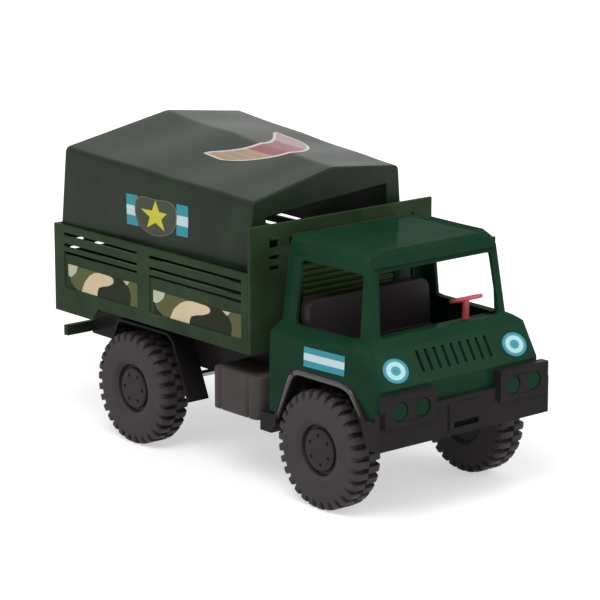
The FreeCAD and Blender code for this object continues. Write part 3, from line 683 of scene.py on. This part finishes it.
def bead(name, lines, radius, mat, squash=1.0):
    """Round ridges, half sunk, along lines; each line is (points, out), out the way that they stand out."""
    points, faces = [], []
    for line, out in lines:
        base = len(points)
        line = [Vector(p) for p in line]
        last = len(line) - 1
        out = Vector(out)
        for i, p in enumerate(line):
            along = (line[min(i + 1, last)] - line[max(i - 1, 0)]).normalized()
            across = along.cross(out).normalized()
            r = radius * (0.25 if i in (0, last) else 1.0)
            for k in range(BEAD_STEPS):
                angle = 2 * math.pi * k / BEAD_STEPS
                points.append(p + across * r * math.cos(angle) + out * r * squash * math.sin(angle))
        faces += [tuple(base + v for v in f) for f in grid_faces(len(line), BEAD_STEPS, False, True)]
        faces.append(tuple(base + k for k in range(BEAD_STEPS)))
        faces.append(tuple(base + last * BEAD_STEPS + k for k in range(BEAD_STEPS)))
    return piece(name, points, faces, [mat], smooth=40)


# three ribs along each side of the cab's roof
ribs = []
for side in (-1, 1):
    for x in (57.6, 54.0, 50.0):
        starts = [(side * x, cab_front + 42 + 5 * k, 260) for k in range(15)]
        ribs.append(([drop(cab_surface, start, (0, 0, -1))[0] for start in starts], (0, 0, 1)))
bead("roof_ribs", ribs, 0.7, cab_green, squash=0.7)

# a battery box's section, from its bottom up, columns: height above the bottom or below the top, inset
BOX_BOTTOM = ((0, 1.2), (0.4, 0.4), (1.2, 0))
BOX_TOP = ((3.0, 0), (1.4, 0.5), (0.4, 1.6), (0, 3.0), (0, 5.0), (0.8, 5.8))
GROOVES = (8.0, 40.0)     # forward from the rear end
GROOVE_DEPTH = 1.6
GROOVE_HALF = 1.5


def make_battery_box(node, side):
    """A battery box with rounded edges and a groove at each end of its outer panel."""
    low, high = size(node)
    inner = min(abs(low.x), abs(high.x))
    outer = max(abs(low.x), abs(high.x))
    plan = filleted([(inner, low.y, 0), (outer, low.y, 9.0), (outer, high.y, 3.5), (inner, high.y, 0)],
                    (6, 60, 6))
    middle = (low.y + high.y) / 2
    half = (high.y - low.y) / 2
    section = [(low.z + up, inset) for up, inset in BOX_BOTTOM]
    section += [(high.z - down, inset) for down, inset in BOX_TOP]
    points = []
    for z, inset in section:
        for p in plan:
            x = p.x - (inset if p.x > inner + 1 else 0)
            if p.x > outer - 0.5:
                dips = [math.exp(-((p.y - high.y + at) / GROOVE_HALF) ** 4) for at in GROOVES]
                x -= GROOVE_DEPTH * sum(dips)
            y = p.y + (inset if p.y < middle else -inset) * clamped(abs(p.y - middle) / half) ** 4
            points.append((side * x, y, z))
    count = len(plan)
    faces = grid_faces(len(section), count, False, True)
    faces += [tuple(range(count)), tuple(len(points) - count + i for i in range(count))]
    box = piece(node.replace("battery_box", "battery_case"), points, faces, [box_black], smooth=40)
    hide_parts(node)


for which, side in (("left", 1), ("right", -1)):
    make_battery_box("battery_box_" + which, side)

# the headboard: planks across its front, in a lighter green than the headboard's own that is painted light,
# and the lip under its top rail
head_low, head_high = size("headboard")
planks = []
for k in range(7):
    z = head_low.z + 30 + 4.6 * k
    planks.append(([(x, head_low.y, z) for x in (-50, -49, -25, 0, 25, 49, 50)], (0, -1, 0)))
bead("headboard_planks", planks, 1.8, painted_lit_green, squash=0.22)
lip = [(x, head_low.y + 1.5, head_high.z - 10.6) for x in (-69.5, -69, -35, 0, 35, 69, 69.5)]
bead("headboard_lip", [(lip, (0, -1, 0))], 1.6, bed_green)

# a bead round each front wheel arch, just inside the flange's edge; columns: y from the axle, z
ARCH = ((-47.5, 80.0), (-36.0, 96.0), (-26.0, 98.3), (22.5, 98.3), (28.2, 93.6), (42.5, 62.0))
ARCH_ROUND = 5
corners = [Vector(p) for p in ARCH]
arch = corners[:1]
for a, b, c in zip(corners, corners[1:], corners[2:]):
    start = b + (a - b).normalized() * ARCH_ROUND
    end = b + (c - b).normalized() * ARCH_ROUND
    arch += [bend(start, b, end, t) for t in (0, 0.25, 0.5, 0.75, 1)]
arch += corners[-1:]
axle_low, axle_high = size("axle_front")
axle_y = (axle_low.y + axle_high.y) / 2
bead_x = size("front_fender_left")[1].x - 0.2
beads = [([(side * bead_x, axle_y + p.x, p.y) for p in arch], (side, 0, 0)) for side in (-1, 1)]
bead("arch_beads", beads, 2.0, gloss_black, squash=0.5)

# ---------------------------------------------------------------- camera, floor and light
scene = bpy.context.scene


def aimed(name, data, place, target):
    """A camera or a lamp at a place, pointing at a target; both are in metres."""
    obj = bpy.data.objects.new(name, data)
    scene.collection.objects.link(obj)
    obj.location = place
    obj.rotation_mode = "QUATERNION"
    obj.rotation_quaternion = (Vector(target) - Vector(place)).to_track_quat("-Z", "Y")
    return obj


camera = bpy.data.cameras.new("camera")
camera.lens = 164.35
camera.sensor_width = 36
camera.clip_start = 0.05
camera.clip_end = 20
scene.camera = aimed("camera", camera, (-1.309, -1.5453, 0.606), (-0.38946, -0.46505, 0.26511))


def seen_directly(tree):
    """1 for a ray from the camera, off gloss or through glass, and 0 for one that only lights things."""
    rays = add_node(tree, "LightPath")
    sharp = combined(tree, "MAXIMUM", rays.outputs["Is Camera Ray"], rays.outputs["Is Glossy Ray"])
    return combined(tree, "MAXIMUM", sharp, rays.outputs["Is Transmission Ray"])


def pale(name, near, far):
    """A pale floor that looks white and keeps the shadow; near and far are its glow where it is seen."""
    mat, tree, shader = blank_material(name)
    put(shader, {"Roughness": 0.6, "Specular IOR Level": 0.1, "Base Color": (0.8, 0.8, 0.82, 1),
                 "Emission Color": (1, 1, 1, 1)})
    where = add_node(tree, "TexCoord")
    length = add_node(tree, "VectorMath")
    length.operation = "LENGTH"
    tree.links.new(where.outputs["Object"], length.inputs[0])
    level = add_node(tree, "MapRange")
    level.interpolation_type = "SMOOTHSTEP"
    put(level, {"From Min": 0.25, "From Max": 0.8, "To Min": near, "To Max": far})
    tree.links.new(length.outputs["Value"], level.inputs["Value"])
    glow = combined(tree, "MULTIPLY", seen_directly(tree), level.outputs["Result"])
    tree.links.new(glow, shader.inputs["Emission Strength"])
    return mat


FLOOR_HALF = 4.0     # metres
floor_mesh = bpy.data.meshes.new("floor")
floor_corners = [(x * FLOOR_HALF, y * FLOOR_HALF, 0) for x, y in ((-1, -1), (1, -1), (1, 1), (-1, 1))]
floor_mesh.from_pydata(floor_corners, [], [(0, 1, 2, 3)])
floor_mesh.materials.append(pale("floor_white", 0.52, 0.75))
floor = bpy.data.objects.new("floor", floor_mesh)
floor.location.z = cad_low.z - 0.02 * MM
scene.collection.objects.link(floor)
floor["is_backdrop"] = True

world = bpy.data.worlds.new("world")
scene.world = world
world.use_nodes = True
tree = world.node_tree
background = tree.nodes["Background"]
background.inputs["Color"].default_value = (1, 1, 1, 1)
strength = add_node(tree, "MapRange", {"To Min": 0.45, "To Max": 1.0})
tree.links.new(seen_directly(tree), strength.inputs["Value"])
tree.links.new(strength.outputs["Result"], background.inputs["Strength"])

# columns: name, place, how wide, power
for name, place, wide, power in (("key", (-0.9, -0.6, 1.6), 1.0, 16), ("fill", (0.9, -1.4, 1.0), 1.0, 5)):
    light = bpy.data.lights.new(name, "AREA")
    light.energy = power
    light.size = wide
    aimed(name, light, place, (0, 0, 0.1))

scene.view_settings.view_transform = "Standard"
low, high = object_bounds()
